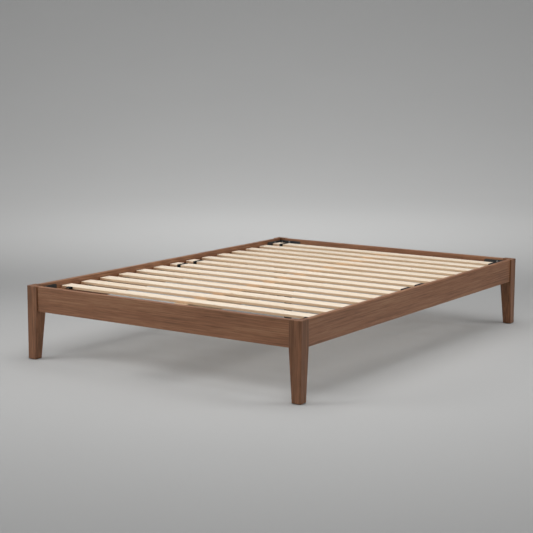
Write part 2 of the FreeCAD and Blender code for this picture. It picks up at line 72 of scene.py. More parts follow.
class BedFinish(bpy.types.PropertyGroup):
    """Colours of the woods, metals and plastics."""

    walnut_light: bpy.props.FloatVectorProperty(
        name="Walnut, light", description="Palest streaks of the stained walnut",
        default=linear("#A47A58"), size=4, min=0.0, max=1.0, subtype="COLOR")
    walnut_warm: bpy.props.FloatVectorProperty(
        name="Walnut, warm", description="Reddish brown between the streaks",
        default=linear("#8C5D3E"), size=4, min=0.0, max=1.0, subtype="COLOR")
    walnut_dark: bpy.props.FloatVectorProperty(
        name="Walnut, dark", description="Growth lines and pores of the walnut",
        default=linear("#633E22"), size=4, min=0.0, max=1.0, subtype="COLOR")
    pine_light: bpy.props.FloatVectorProperty(
        name="Pine, light", description="Planed sapwood of the slats",
        default=linear("#EADDCC"), size=4, min=0.0, max=1.0, subtype="COLOR")
    pine_dark: bpy.props.FloatVectorProperty(
        name="Pine, dark", description="Latewood lines of the slats",
        default=linear("#D6B68C"), size=4, min=0.0, max=1.0, subtype="COLOR")
    # Warmer than the planed faces: partly the sawn wood's own colour, partly painted shade of the
    # upright faces, which get less light than the tops.
    pine_edge_and_shade: bpy.props.FloatVectorProperty(
        name="Pine, edge", description="Sawn edges of the slats",
        default=linear("#E4C098"), size=4, min=0.0, max=1.0, subtype="COLOR")
    # Darker than the slats: painted shade, for the shadow that the slats cast on the centre beam
    # under them.
    pine_beam_painted_shade: bpy.props.FloatVectorProperty(
        name="Pine, beam", description="Sawn faces of the centre beam",
        default=linear("#B79A7A"), size=4, min=0.0, max=1.0, subtype="COLOR")
    pine_knot: bpy.props.FloatVectorProperty(
        name="Pine, knot", description="Small knots of the slats",
        default=linear("#8A5A32"), size=4, min=0.0, max=1.0, subtype="COLOR")
    coat_black: bpy.props.FloatVectorProperty(
        name="Powder coat", description="Brackets, hangers and centre leg",
        default=linear("#24272A"), size=4, min=0.0, max=1.0, subtype="COLOR")
    tape_black: bpy.props.FloatVectorProperty(
        name="Tape", description="Woven polypropylene tape",
        default=linear("#121414"), size=4, min=0.0, max=1.0, subtype="COLOR")
    nylon_black: bpy.props.FloatVectorProperty(
        name="Nylon", description="Moulded glides, plug and pad",
        default=linear("#1C1C1D"), size=4, min=0.0, max=1.0, subtype="COLOR")
    zinc: bpy.props.FloatVectorProperty(
        name="Zinc", description="Bright zinc plate on the screws and staples",
        default=linear("#B4B8BB"), size=4, min=0.0, max=1.0, subtype="COLOR")
    beech: bpy.props.FloatVectorProperty(
        name="Beech", description="Dowels between the rails and the posts",
        default=linear("#CBA77D"), size=4, min=0.0, max=1.0, subtype="COLOR")
    floor: bpy.props.FloatVectorProperty(
        name="Floor", description="Pale studio floor",
        default=linear("#B2B2B1"), size=4, min=0.0, max=1.0, subtype="COLOR")


class BedSizes(bpy.types.PropertyGroup):
    """Sizes of the pieces that are finer than the frame."""

    tape_thickness: bpy.props.FloatProperty(
        name="Tape thickness", description="Thickness of the woven tape", default=1.1 * MM,
        unit="LENGTH", subtype="DISTANCE")
    tape_sag: bpy.props.FloatProperty(
        name="Tape sag", description="How far the tape hangs between two slats", default=2.2 * MM,
        unit="LENGTH", subtype="DISTANCE")
    thread_pitch: bpy.props.FloatProperty(
        name="Thread pitch", description="Rise of the levelling stud's thread in one turn",
        default=1.25 * MM, unit="LENGTH", subtype="DISTANCE")
    thread_depth: bpy.props.FloatProperty(
        name="Thread depth", description="Depth of the thread's groove", default=0.65 * MM,
        unit="LENGTH", subtype="DISTANCE")
    bead_radius: bpy.props.FloatProperty(
        name="Weld bead", description="Radius of the bead round the centre leg's tube",
        default=3.2 * MM, unit="LENGTH", subtype="DISTANCE")


class BedStage(bpy.types.PropertyGroup):
    """Camera and lights."""

    azimuth: bpy.props.FloatProperty(
        name="Azimuth", description="Camera's turn from the foot end towards the right side",
        default=math.radians(33.906), unit="ROTATION", subtype="ANGLE")
    tilt: bpy.props.FloatProperty(
        name="Tilt", description="Camera's slope down to the bed", default=math.radians(8.716),
        unit="ROTATION", subtype="ANGLE")
    roll: bpy.props.FloatProperty(
        name="Roll", description="Camera's turn about its own axis", default=math.radians(0.237),
        unit="ROTATION", subtype="ANGLE")
    distance: bpy.props.FloatProperty(
        name="Distance", description="Camera to the bed's middle", default=6.306,
        unit="LENGTH", subtype="DISTANCE")
    lens: bpy.props.FloatProperty(
        name="Lens", description="Focal length on a 36 mm sensor", default=90.4, unit="CAMERA")
    overhead: bpy.props.FloatProperty(
        name="Overhead light", description="Softbox over the bed", default=33.0, unit="POWER")
    left_side: bpy.props.FloatProperty(
        name="Left light", description="Softbox on the camera's left", default=42.0, unit="POWER")
    right_side: bpy.props.FloatProperty(
        name="Right light", description="Softbox on the camera's right", default=30.0, unit="POWER")
    high_front: bpy.props.FloatProperty(
        name="Front light", description="Softbox high above the camera", default=15.0, unit="POWER")
    backdrop: bpy.props.FloatProperty(
        name="Backdrop light", description="Softbox that washes the cove behind the bed",
        default=340.0, unit="POWER")
    sky: bpy.props.FloatProperty(
        name="Sky", description="Strength of the even light above the cove's rim", default=0.43)


# ---------------------------------------------------------------- meshes


def surface(name, grids, closed=True):
    """One mesh from grids of points, whose cells become its faces.

    A grid is (points, u, v, ring): points is rows by columns by 3, every row runs round the piece
    and closes on itself, and the rows close on themselves too where ring is true. u and v are the
    texture coordinates of the rows and the columns. Points that fall together at a pole are
    merged, and a closed piece has its faces turned outwards."""
    points, corners, flat_u, flat_v, start = [], [], [], [], 0
    for grid, u, v, ring in grids:
        rows, columns = grid.shape[:2]
        r, c = (part.ravel() for part in np.meshgrid(np.arange(rows if ring else rows - 1),
                                                     np.arange(columns), indexing="ij"))
        r2, c2 = (r + 1) % rows, (c + 1) % columns
        faces = [row * columns + column for row, column in ((r, c), (r2, c), (r2, c2), (r, c2))]
        corners.append(np.stack(faces, 1) + start)
        points.append(grid.reshape(-1, 3))
        flat_u.append(np.stack([u[r], u[r2], u[r2], u[r]], 1).ravel())
        flat_v.append(np.stack([v[c], v[c], v[c2], v[c2]], 1).ravel())
        start += rows * columns
    mesh = bpy.data.meshes.new(name)
    mesh.from_pydata(np.concatenate(points), [], np.concatenate(corners).tolist())
    layer = mesh.uv_layers.new(name="surface")
    places = np.stack([np.concatenate(flat_u), np.concatenate(flat_v)], 1)
    layer.data.foreach_set("uv", places.ravel())
    shape = bmesh.new()
    shape.from_mesh(mesh)
    bmesh.ops.remove_doubles(shape, verts=shape.verts, dist=0.001 * MM)
    if closed:
        bmesh.ops.recalc_face_normals(shape, faces=shape.faces)
    shape.to_mesh(mesh)
    shape.free()
    mesh.polygons.foreach_set("use_smooth", np.ones(len(mesh.polygons), bool))
    mesh.set_sharp_from_angle(angle=math.radians(38))
    mesh.update()
    made = bpy.data.objects.new(name, mesh)
    bpy.context.scene.collection.objects.link(made)
    return made


def turned(profile, centre, sides=64, ribs=0, rib_height=0.0):
    """Grid of a profile of (radius, height) turned about an upright axis.

    The radius of each point is multiplied by one plus a cosine of the turn, for a ribbed rim."""
    profile = np.asarray(profile, float)
    angle = np.linspace(0, 2 * np.pi, sides, endpoint=False)
    radius = profile[:, :1] * (1 + rib_height * np.cos(ribs * angle))[None, :]
    x = centre[0] + radius * np.cos(angle)
    y = centre[1] + radius * np.sin(angle)
    z = centre[2] + np.repeat(profile[:, 1:], sides, 1)
    along = np.concatenate([[0], np.cumsum(np.linalg.norm(np.diff(profile, axis=0), axis=1))])
    return np.stack([x, y, z], -1), along, angle * profile[:, 0].max(), False


def arc(centre, radius, start, end, steps=6):
    """Points of an arc of (radius, height), between two angles in degrees."""
    angle = np.radians(np.linspace(start, end, steps))
    return [(centre[0] + radius * math.cos(a), centre[1] + radius * math.sin(a)) for a in angle]


def hand_in(piece, body, material, replaced=()):
    """Give a new piece its finish, its body and the CAD nodes that it stands for."""
    piece.data.materials.append(material)
    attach(piece, body)
    if replaced:
        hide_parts(*replaced)


# ---------------------------------------------------------------- materials

# A Mix node of colours takes its factor at input 0 and its colours at inputs 6 and 7, and gives
# the result at output 2. Its other inputs are for numbers and vectors.


def new_material(name):
    """Empty material and its node tree."""
    made = bpy.data.materials.new(name)
    made.use_nodes = True
    made.node_tree.nodes.clear()
    return made, made.node_tree


def node(tree, kind, links=None, stops=None, **settings):
    """Add a node, set its properties, then set or link its inputs, and return it."""
    made = tree.nodes.new(kind)
    for name, value in settings.items():
        setattr(made, name, value)
    for socket, value in (links or {}).items():
        if isinstance(value, bpy.types.NodeSocket):
            tree.links.new(value, made.inputs[socket])
        else:
            made.inputs[socket].default_value = value
    if stops:
        ramp = made.color_ramp
        while len(ramp.elements) < len(stops):
            ramp.elements.new(0.5)
        for element, (place, shade) in zip(ramp.elements, stops):
            element.position = place
            element.color = shade
    return made


def grain_coordinates(tree, centre, grain):
    """Metres from a piece's middle, with X along its grain."""
    place = node(tree, "ShaderNodeTexCoord").outputs["Object"]
    turn = {"X": (0, 0, 0), "Y": (0, 0, math.pi / 2), "Z": (0, -math.pi / 2, 0)}[grain]
    return node(tree, "ShaderNodeMapping", {"Vector": place, "Location": centre, "Rotation": turn},
                vector_type="TEXTURE").outputs[0]


def streaks(tree, vector, length, width, detail, seed):
    """Noise drawn out along the grain: streaks of a given length and width in metres."""
    stretched = node(tree, "ShaderNodeMapping", {
        "Vector": vector, "Location": (seed, seed * 1.7, 0),
        "Scale": (1 / length, 1 / width, 1 / width)}).outputs[0]
    return node(tree, "ShaderNodeTexNoise", {"Vector": stretched, "Scale": 1.0, "Detail": detail,
                                             "Roughness": 0.55}).outputs[0]


def growth_rings(tree, vector, pith, spacing, drift, seed):
    """Rings round a pith that lies beside the piece, wandering slowly along the grain.

    A ring texture of scale one repeats every 0.31416 of its units."""
    wander = node(tree, "ShaderNodeMapping", {"Vector": vector, "Scale": (0.05, 1, 1),
                                              "Location": (seed, *pith)}).outputs[0]
    return node(tree, "ShaderNodeTexWave",
                {"Vector": wander, "Scale": 0.31416 / spacing, "Distortion": drift, "Detail": 2.0,
                 "Detail Scale": 0.35, "Detail Roughness": 0.6},
                wave_type="RINGS", rings_direction="X", wave_profile="SAW").outputs[1]


def finish_with(tree, shader_values, height=None, bump_distance=0.0001):
    """Principled shader, bump and output."""
    shader = node(tree, "ShaderNodeBsdfPrincipled", shader_values)
    if height is not None:
        bump = node(tree, "ShaderNodeBump", {"Height": height, "Strength": 1.0,
                                             "Distance": bump_distance})
        tree.links.new(bump.outputs[0], shader.inputs["Normal"])
    node(tree, "ShaderNodeOutputMaterial", {"Surface": shader.outputs[0]})


def walnut_satin_lacquer(colours, name, centre, grain, seed, lift):
    """Walnut, sanded with the grain, stained even and sprayed with satin lacquer.

    The eye gets long, quiet brown streaks, reddish and tan by turns, with fine darker lines and a
    soft, broad highlight. The pores are 0.3 mm across on the real wood; they are drawn 1 mm
    across, the finest that shows. lift raises or lowers the whole board's tone."""
    material, tree = new_material("walnut_satin_lacquer_" + name)
    light, warm, dark = (tuple(c) for c in (colours.walnut_light, colours.walnut_warm,
                                            colours.walnut_dark))
    place = grain_coordinates(tree, centre, grain)
    figure = streaks(tree, place, 0.60, 0.030, 2.0, seed)
    lines = streaks(tree, place, 0.30, 0.0055, 4.0, seed + 3.1)
    flecks = streaks(tree, place, 0.070, 0.0035, 3.0, seed + 5.9)
    pores = streaks(tree, place, 0.020, 0.0010, 2.0, seed + 7.7)
    rings = growth_rings(tree, place, (0.085 + 0.03 * math.sin(seed), 0.06), 0.009, 3.0, seed)
    # The weights add up to 2.25 and each noise averages a half, so 0.625 less centres the tone.
    broad = node(tree, "ShaderNodeMath", {0: figure, 1: 0.60, 2: lift - 0.625},
                 operation="MULTIPLY_ADD").outputs[0]
    both = node(tree, "ShaderNodeMath", {0: lines, 1: 0.95, 2: broad},
                operation="MULTIPLY_ADD").outputs[0]
    tone = node(tree, "ShaderNodeMath", {0: flecks, 1: 0.70, 2: both},
                operation="MULTIPLY_ADD").outputs[0]
    board = node(tree, "ShaderNodeValToRGB", {"Fac": tone},
                 [(0.12, dark), (0.48, warm), (0.86, light)]).outputs[0]
    ring_depth = node(tree, "ShaderNodeMapRange", {"Value": rings, "From Min": 0.60,
                                                   "To Max": 0.22}).outputs[0]
    ringed = node(tree, "ShaderNodeMix", {0: ring_depth, 6: board, 7: dark},
                  data_type="RGBA").outputs[2]
    pore_depth = node(tree, "ShaderNodeMapRange", {"Value": pores, "From Min": 0.58,
                                                   "From Max": 0.72, "To Max": 0.30}).outputs[0]
    pored = node(tree, "ShaderNodeMix", {0: pore_depth, 6: ringed, 7: dark},
                 data_type="RGBA").outputs[2]
    roughness = node(tree, "ShaderNodeMapRange", {"Value": lines, "From Min": 0.3, "From Max": 0.7,
                                                  "To Min": 0.52, "To Max": 0.42}).outputs[0]
    height = node(tree, "ShaderNodeMath", {0: 1.0, 1: pore_depth}, operation="SUBTRACT").outputs[0]
    finish_with(tree, {"Base Color": pored, "Roughness": roughness, "IOR": 1.5,
                       "Coat Weight": 0.10, "Coat Roughness": 0.40}, height, 0.10 * MM)
    return material


def bare_pine_planed(colours, name, centre, grain, seed, edge, planed):
    """Pine, planed on its two broad faces, sawn on its edges and left bare.

    The eye gets a pale cream board with faint tan latewood lines 6 mm apart, a small knot here
    and there with the lines bent round it, and warmer, duller edges and ends in the edge
    colour, which is partly the sawn wood's own colour and partly painted shade of the upright
    faces. planed is one for such a board, and nothing for one left sawn all over."""
    material, tree = new_material("bare_pine_planed_" + name)
    light, dark, knot = (tuple(c) for c in (colours.pine_light, colours.pine_dark,
                                            colours.pine_knot))
    place = grain_coordinates(tree, centre, grain)
    knot_place = node(tree, "ShaderNodeMapping", {
        "Vector": place, "Location": (seed, seed * 0.37, 0), "Scale": (1.0, 1.6, 1.6)}).outputs[0]
    knots = node(tree, "ShaderNodeTexVoronoi",
                 {"Vector": knot_place, "Scale": 4.2, "Randomness": 1.0},
                 feature="F1").outputs["Distance"]
    push = node(tree, "ShaderNodeMapRange", {"Value": knots, "From Min": 0.02, "From Max": 0.16,
                                             "To Min": 0.010, "To Max": 0.0}).outputs[0]
    bent = node(tree, "ShaderNodeCombineXYZ", {"Y": push, "Z": push}).outputs[0]
    flow = node(tree, "ShaderNodeVectorMath", {0: place, 1: bent}, operation="ADD").outputs[0]
    rings = growth_rings(tree, flow, (0.05 + 0.03 * math.sin(seed * 2.3), 0.045), 0.006, 2.0, seed)
    figure = streaks(tree, flow, 0.6, 0.035, 3.0, seed)
    fibres = streaks(tree, flow, 0.05, 0.0012, 3.0, seed + 4.4)
    latewood = node(tree, "ShaderNodeMapRange", {"Value": rings, "From Min": 0.5,
                                                 "To Max": 0.45}).outputs[0]
    board = node(tree, "ShaderNodeMix", {0: latewood, 6: light, 7: dark},
                 data_type="RGBA").outputs[2]
    cloud = node(tree, "ShaderNodeMapRange", {"Value": figure, "From Min": 0.42, "From Max": 0.75,
                                              "To Max": 0.5}).outputs[0]
    clouded = node(tree, "ShaderNodeMix", {0: cloud, 6: board, 7: dark},
                   data_type="RGBA").outputs[2]
    facing = node(tree, "ShaderNodeTexCoord").outputs["Normal"]
    parts = node(tree, "ShaderNodeSeparateXYZ", {0: facing})
    upright = node(tree, "ShaderNodeMath", {0: parts.outputs[2]}, operation="ABSOLUTE").outputs[0]
    # Upright faces, picked by their normal, get the edge colour: the sawn wood's warmer colour plus
    # painted shade, since upright faces get less light than the tops.
    sawn = node(tree, "ShaderNodeMapRange", {"Value": upright, "From Min": 0.75, "From Max": 0.25,
                                             "To Min": 0.9 - 0.9 * planed,
                                             "To Max": 0.9}).outputs[0]
    edged = node(tree, "ShaderNodeMix", {0: sawn, 6: clouded, 7: edge},
                 data_type="RGBA").outputs[2]
    knot_edge = node(tree, "ShaderNodeMapRange", {"Value": knots, "From Min": 0.016,
                                                  "From Max": 0.040}).outputs[0]
    knotted = node(tree, "ShaderNodeMix", {0: knot_edge, 6: knot, 7: edged},
                   data_type="RGBA").outputs[2]
    finish_with(tree, {"Base Color": knotted, "Roughness": 0.62, "IOR": 1.5}, fibres, 0.08 * MM)
    return material


def black_powder_coat(colours):
    """Mild steel, powder coated black and baked.

    The eye gets a dark satin skin with a faint orange-peel ripple 1.5 mm across."""
    material, tree = new_material("black_powder_coat")
    place = node(tree, "ShaderNodeTexCoord").outputs["Object"]
    peel = node(tree, "ShaderNodeTexNoise",
                {"Vector": place, "Scale": 1 / (1.5 * MM), "Detail": 2.0}).outputs[0]
    cloud = node(tree, "ShaderNodeTexNoise",
                 {"Vector": place, "Scale": 30.0, "Detail": 3.0}).outputs[0]
    colour = node(tree, "ShaderNodeMix", {0: cloud, 6: tuple(colours.coat_black),
                                          7: linear("#2D3134")}, data_type="RGBA").outputs[2]
    roughness = node(tree, "ShaderNodeMapRange", {"Value": cloud, "From Min": 0.3, "From Max": 0.7,
                                                  "To Min": 0.34, "To Max": 0.46}).outputs[0]
    finish_with(tree, {"Base Color": colour, "IOR": 1.5, "Roughness": roughness},
                peel, 0.03 * MM)
    return material


def zinc_plated_steel(colours):
    """Steel fasteners, barrel plated with bright zinc.

    The eye gets a light grey metal with a cloudy, slightly scratched shine."""
    material, tree = new_material("zinc_plated_steel")
    place = node(tree, "ShaderNodeTexCoord").outputs["Object"]
    cloud = node(tree, "ShaderNodeTexNoise",
                 {"Vector": place, "Scale": 220.0, "Detail": 4.0}).outputs[0]
    colour = node(tree, "ShaderNodeMix", {0: cloud, 6: tuple(colours.zinc), 7: linear("#8F9498")},
                  data_type="RGBA").outputs[2]
    roughness = node(tree, "ShaderNodeMapRange", {"Value": cloud, "From Min": 0.3, "From Max": 0.7,
                                                  "To Min": 0.26, "To Max": 0.42}).outputs[0]
    finish_with(tree, {"Base Color": colour, "Metallic": 1.0, "Roughness": roughness},
                cloud, 0.01 * MM)
    return material


def moulded_black_nylon(colours):
    """Nylon, injection moulded in a spark-eroded tool.

    The eye gets near-black plastic with a fine, even matt grain 0.4 mm across."""
    material, tree = new_material("moulded_black_nylon")
    place = node(tree, "ShaderNodeTexCoord").outputs["Object"]
    grain = node(tree, "ShaderNodeTexNoise", {"Vector": place, "Scale": 1 / (0.4 * MM),
                                              "Detail": 1.0}).outputs[0]
    colour = node(tree, "ShaderNodeMix", {0: grain, 6: tuple(colours.nylon_black),
                                          7: linear("#262627")}, data_type="RGBA").outputs[2]
    finish_with(tree, {"Base Color": colour, "Roughness": 0.52, "IOR": 1.53}, grain, 0.02 * MM)
    return material


def turned_beech(colours):
    """Beech dowel rod, turned and fluted, left bare.

    The eye gets a pinkish tan with short darker flecks 2 mm across."""
    material, tree = new_material("turned_beech")
    place = node(tree, "ShaderNodeTexCoord").outputs["Object"]
    flecks = node(tree, "ShaderNodeTexNoise",
                  {"Vector": place, "Scale": 1 / (2.0 * MM), "Detail": 2.0}).outputs[0]
    colour = node(tree, "ShaderNodeMix", {0: flecks, 6: tuple(colours.beech), 7: linear("#A87F55")},
                  data_type="RGBA").outputs[2]
    finish_with(tree, {"Base Color": colour, "Roughness": 0.6}, flecks, 0.02 * MM)
    return material


def woven_polypropylene_tape(colours):
    """Black polypropylene yarn, woven into flat tape.

    The eye gets a herringbone of small ribs, 1.6 mm along the tape and 1.1 mm across it, matt
    because the yarn scatters the light, and a painted sheen that lightens the tops of the ribs."""
    material, tree = new_material("woven_polypropylene_tape")
    parts = node(tree, "ShaderNodeSeparateXYZ", {0: node(tree, "ShaderNodeUVMap",
                                                         uv_map="surface").outputs[0]})
    along = node(tree, "ShaderNodeMath", {0: parts.outputs[0], 1: 2 * math.pi / (1.6 * MM)},
                 operation="MULTIPLY").outputs[0]
    across = node(tree, "ShaderNodeMath", {0: parts.outputs[1], 1: 2 * math.pi / (2.2 * MM)},
                  operation="MULTIPLY").outputs[0]
    zigzag = node(tree, "ShaderNodeMath", {0: across}, operation="SINE").outputs[0]
    slanted = node(tree, "ShaderNodeMath", {0: zigzag, 1: 1.6, 2: along},
                   operation="MULTIPLY_ADD").outputs[0]
    rib = node(tree, "ShaderNodeMath", {0: slanted}, operation="SINE").outputs[0]
    height = node(tree, "ShaderNodeMapRange", {"Value": rib, "From Min": -1.0}).outputs[0]
    # Painted sheen: the tops of the ribs are mixed towards a lighter, cool grey.
    colour = node(tree, "ShaderNodeMix", {0: height, 6: tuple(colours.tape_black),
                                          7: linear("#26292A")}, data_type="RGBA").outputs[2]
    finish_with(tree, {"Base Color": colour, "Roughness": 0.8, "IOR": 1.49,
                       "Specular IOR Level": 0.15}, height, 0.25 * MM)
    return material


def painted_studio_floor(colours):
    """Matt emulsion on a smooth cove, rolled on.

    The eye gets an even pale grey with a barely visible mottle."""
    material, tree = new_material("painted_studio_floor")
    place = node(tree, "ShaderNodeTexCoord").outputs["Object"]
    mottle = node(tree, "ShaderNodeTexNoise",
                  {"Vector": place, "Scale": 0.6, "Detail": 4.0}).outputs[0]
    amount = node(tree, "ShaderNodeMapRange", {"Value": mottle, "From Min": 0.3, "From Max": 0.7,
                                               "To Max": 0.10}).outputs[0]
    colour = node(tree, "ShaderNodeMix", {0: amount, 6: tuple(colours.floor), 7: linear("#A3A2A1")},
                  data_type="RGBA").outputs[2]
    finish_with(tree, {"Base Color": colour, "Roughness": 0.9, "Specular IOR Level": 0.2})
    return material


def paint(names, material):
    """Give CAD nodes a finish in every one of their material slots."""
    for name in names:
        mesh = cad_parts[name].data
        if not mesh.materials:
            mesh.materials.append(material)
        for index in range(len(mesh.materials)):
            mesh.materials[index] = material


def middle(name):
    """Middle of a CAD node's box."""
    low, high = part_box(name)
    return tuple((low + high) / 2)


# ---------------------------------------------------------------- operators


class BED_OT_finish_walnut(bpy.types.Operator):
    """Lacquered walnut on the legs, rails and ledgers, each cut from its own board"""

    bl_idname = "bed.finish_walnut"
    bl_label = "Finish walnut"

    def execute(self, context):
        grains = {"leg_" + corner: "Z" for corner in CORNERS}
        grains.update({"foot_rail": "X", "head_rail": "X", "left_rail": "Y", "right_rail": "Y",
                       "left_ledger": "Y", "right_ledger": "Y"})
        for number, (name, grain) in enumerate(sorted(grains.items())):
            lift = -0.20 if grain == "Z" else 0.0
            paint([name], walnut_satin_lacquer(context.scene.bed_finish, name, middle(name), grain,
                                               1.0 + 2.37 * number, lift))
        return {"FINISHED"}


class BED_OT_finish_pine(bpy.types.Operator):
    """Bare pine on the slats and the centre beam, each cut from its own board"""

    bl_idname = "bed.finish_pine"
    bl_label = "Finish pine"

    def execute(self, context):
        colours = context.scene.bed_finish
        for number, name in enumerate(SLATS):
            paint([name], bare_pine_planed(colours, name, middle(name), "X", 1.0 + 1.93 * number,
                                           tuple(colours.pine_edge_and_shade), 1.0))
        beam = "centre_beam"
        # The beam takes its darker colour on every face, and that colour is painted shade for the
        # shadow under the slats.
        paint([beam], bare_pine_planed(colours, beam, middle(beam), "Y", 0.4,
                                       tuple(colours.pine_beam_painted_shade), 0.0))
        paint(["rail_dowels"], turned_beech(colours))
        return {"FINISHED"}


class BED_OT_finish_hardware(bpy.types.Operator):
    """Powder coat, zinc and nylon on the brackets, fasteners and fittings"""

    bl_idname = "bed.finish_hardware"
    bl_label = "Finish hardware"

    def execute(self, context):
        colours = context.scene.bed_finish
        brackets = ["bracket_" + corner for corner in CORNERS]
        paint(brackets + ["hanger_head", "hanger_foot", "centre_leg"], black_powder_coat(colours))
        fasteners = [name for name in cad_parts
                     if name.endswith(("_screws", "_bolts", "_inserts"))]
        paint(fasteners + ["leg_nut", "tape_staples"], zinc_plated_steel(colours))
        paint(["leg_plug"], moulded_black_nylon(colours))
        return {"FINISHED"}


class BED_OT_weave_tapes(bpy.types.Operator):
    """Woven tape under each set of slats, looped round the first and last slat"""

    bl_idname = "bed.weave_tapes"
    bl_label = "Weave tapes"

    def execute(self, context):
        sizes = context.scene.bed_sizes
        material = woven_polypropylene_tape(context.scene.bed_finish)
        for name in TAPES:
            low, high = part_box(name)
            held = [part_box(slat) for slat in SLATS if low.y < middle(slat)[1] < high.y]
            piece = surface("woven_" + name, [tape_band(low, high, held, sizes)])
            hand_in(piece, "bed_frame", material, [name])
        return {"FINISHED"}


def bent_line(corners, reach, step):
    """Line in a plane through corner points, and the distance along it of each of its points.

    Each inner corner becomes a parabola that starts and ends a set reach from it, and the
    straights between are divided into equal steps."""
    corners = np.asarray(corners, float)
    heading = np.diff(corners, axis=0)
    heading /= np.linalg.norm(heading, axis=1)[:, None]
    turn = corners[1:-1, None]
    before = turn - reach * heading[:-1, None]
    after = turn + reach * heading[1:, None]
    share = np.linspace(0, 1, 7)[None, :, None]
    bends = (1 - share) ** 2 * before + 2 * share * (1 - share) * turn + share ** 2 * after
    line = np.concatenate([corners[:1], bends.reshape(-1, 2), corners[-1:]])
    length = np.concatenate([[0], np.cumsum(np.linalg.norm(np.diff(line, axis=0), axis=1))])
    along = np.union1d(length.round(7), np.arange(0, length[-1], step).round(7))
    return np.stack([np.interp(along, length, line[:, k]) for k in (0, 1)], 1), along


def tape_band(low, high, held, sizes):
    """Band carried along a line in the upright plane along the bed.

    A foot tape starts with a loose end that droops before the first slat and goes down its front;
    a head tape starts with a turn round the first slat. Both go on under the slats and end with a
    turn round the last one. In each gap the line is lowered by a sine of the way across the gap.
    The section is a flat superellipse as wide as the tape and as thick as its yarn, and its first
    and last rows are drawn together to close the ends."""
    half, slack, squareness = sizes.tape_thickness / 2, 0.3 * MM, 0.35
    shortest_tail, fold_reach, row_step = 20 * MM, 2.6 * MM, 5 * MM
    under, over = held[0][0].z - half, held[0][1].z + half + slack

    def round_slat(box):
        """Corners of a turn round a slat: up its far side, over it and down its near side."""
        near, far = box[0].y - half, box[1].y + half
        return [(far, under), (far, over), (near, over), (near, under)]

    near = held[0][0].y - half
    if low.y < near - shortest_tail:
        top = held[0][1].z - half
        tip, droop = (low.y, top - 3.4 * MM), (low.y + 12 * MM, top - 0.8 * MM)
        start = [tip, droop, (near, top), (near, under)]
    else:
        start = round_slat(held[0])
    path, along = bent_line(start + round_slat(held[-1]), fold_reach, row_step)
    gaps = np.array([(a[1].y, b[0].y) for a, b in zip(held[:-1], held[1:])])
    across_gap = np.clip((path[:, :1] - gaps[:, 0]) / (gaps[:, 1] - gaps[:, 0]), 0, 1)
    path[:, 1] -= sizes.tape_sag * np.sin(np.pi * across_gap).sum(1)

    path, along = path[[0, *range(len(path)), -1]], along[[0, *range(len(along)), -1]]
    tangent = np.gradient(path[1:-1], axis=0)[[0, *range(len(path) - 2), -1]]
    tangent /= np.linalg.norm(tangent, axis=1)[:, None]
    drawn = np.ones((len(path), 1))
    drawn[[0, -1]] = 0
    angle = np.linspace(0, 2 * np.pi, 20, endpoint=False)
    wide = (high.x - low.x) / 2 * np.sign(np.cos(angle)) * np.abs(np.cos(angle)) ** squareness
    tall = half * np.sign(np.sin(angle)) * np.abs(np.sin(angle)) ** squareness * drawn
    x = (low.x + high.x) / 2 + wide * drawn
    y = path[:, :1] - tangent[:, 1:] * tall
    z = path[:, 1:] + tangent[:, :1] * tall
    return np.stack([x, y, z], -1), along, wide, False


class BED_OT_cut_thread(bpy.types.Operator):
    """Threaded stud of the centre leg, with the hexagonal collar that turns it"""

    bl_idname = "bed.cut_thread"
    bl_label = "Cut thread"

    def execute(self, context):
        low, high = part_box("levelling_stud")
        pad_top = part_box("levelling_pad")[1].z
        stud = threaded_rod(low, high, context.scene.bed_sizes)
        collar = hexagonal_collar(base=pad_top + 0.3 * MM, height=5.0 * MM, flats=13.0 * MM)
        piece = surface("threaded_levelling_stud", [stud, collar])
        hand_in(piece, "stud", zinc_plated_steel(context.scene.bed_finish),
                ["levelling_stud"])
        return {"FINISHED"}


def threaded_rod(low, high, sizes):
    """Rod whose radius falls by a rounded groove that climbs one pitch in each turn.

    Rows go up the rod and columns go round it. The groove's depth is a raised cosine of the height
    less the turn's share of the pitch, and the ends are drawn in to a point on the axis."""
    radius, lead_in, rows_per_turn, columns = 4.0 * MM, 1.2 * MM, 8, 36
    steps = int((high.z - low.z) / sizes.thread_pitch * rows_per_turn)
    height = np.linspace(low.z, high.z, steps)[:, None]
    angle = np.linspace(0, 2 * np.pi, columns, endpoint=False)[None, :]
    turn = (height - low.z) / sizes.thread_pitch - angle / (2 * np.pi)
    groove = 0.5 + 0.5 * np.cos(2 * np.pi * turn)
    from_end = np.minimum(height - low.z, high.z - height)
    chamfer = np.clip(lead_in - from_end, 0, lead_in)
    wall = np.minimum(radius - sizes.thread_depth * groove ** 1.5, radius - chamfer)
    grid = np.stack([wall * np.cos(angle), wall * np.sin(angle), height + 0 * angle], -1)
    bottom, top = (np.zeros((1, columns, 3)) + [0, 0, z] for z in (low.z, high.z))
    grid = np.concatenate([bottom, grid, top])
    return grid, np.linspace(0, high.z - low.z, steps + 2), angle[0] * radius, False


def hexagonal_collar(base, height, flats):
    """Hexagonal prism with chamfered corners.

    The radius at a turn is half the flats over the cosine of the turn from the nearest flat's
    middle, held under a cone that cuts the corners near both ends."""
    angle = np.linspace(0, 2 * np.pi, 72, endpoint=False)[None, :]
    rows = np.array([0.0, 0.0, 0.06, 0.16, 0.84, 0.94, 1.0, 1.0])[:, None]
    reach = np.array([0.0, 0.90, 0.96, 1.0, 1.0, 0.96, 0.90, 0.0])[:, None]
    flat = flats / 2 / np.cos((angle + np.pi / 6) % (np.pi / 3) - np.pi / 6)
    corner = flats / 2 / math.cos(math.pi / 6)
    wall = np.minimum(flat, reach * corner) * (reach > 0)
    level = base + height * rows + 0 * angle
    grid = np.stack([wall * np.cos(angle), wall * np.sin(angle), level], -1)
    return grid, height * np.linspace(0, 1, len(rows)), angle[0] * flats / 2, False


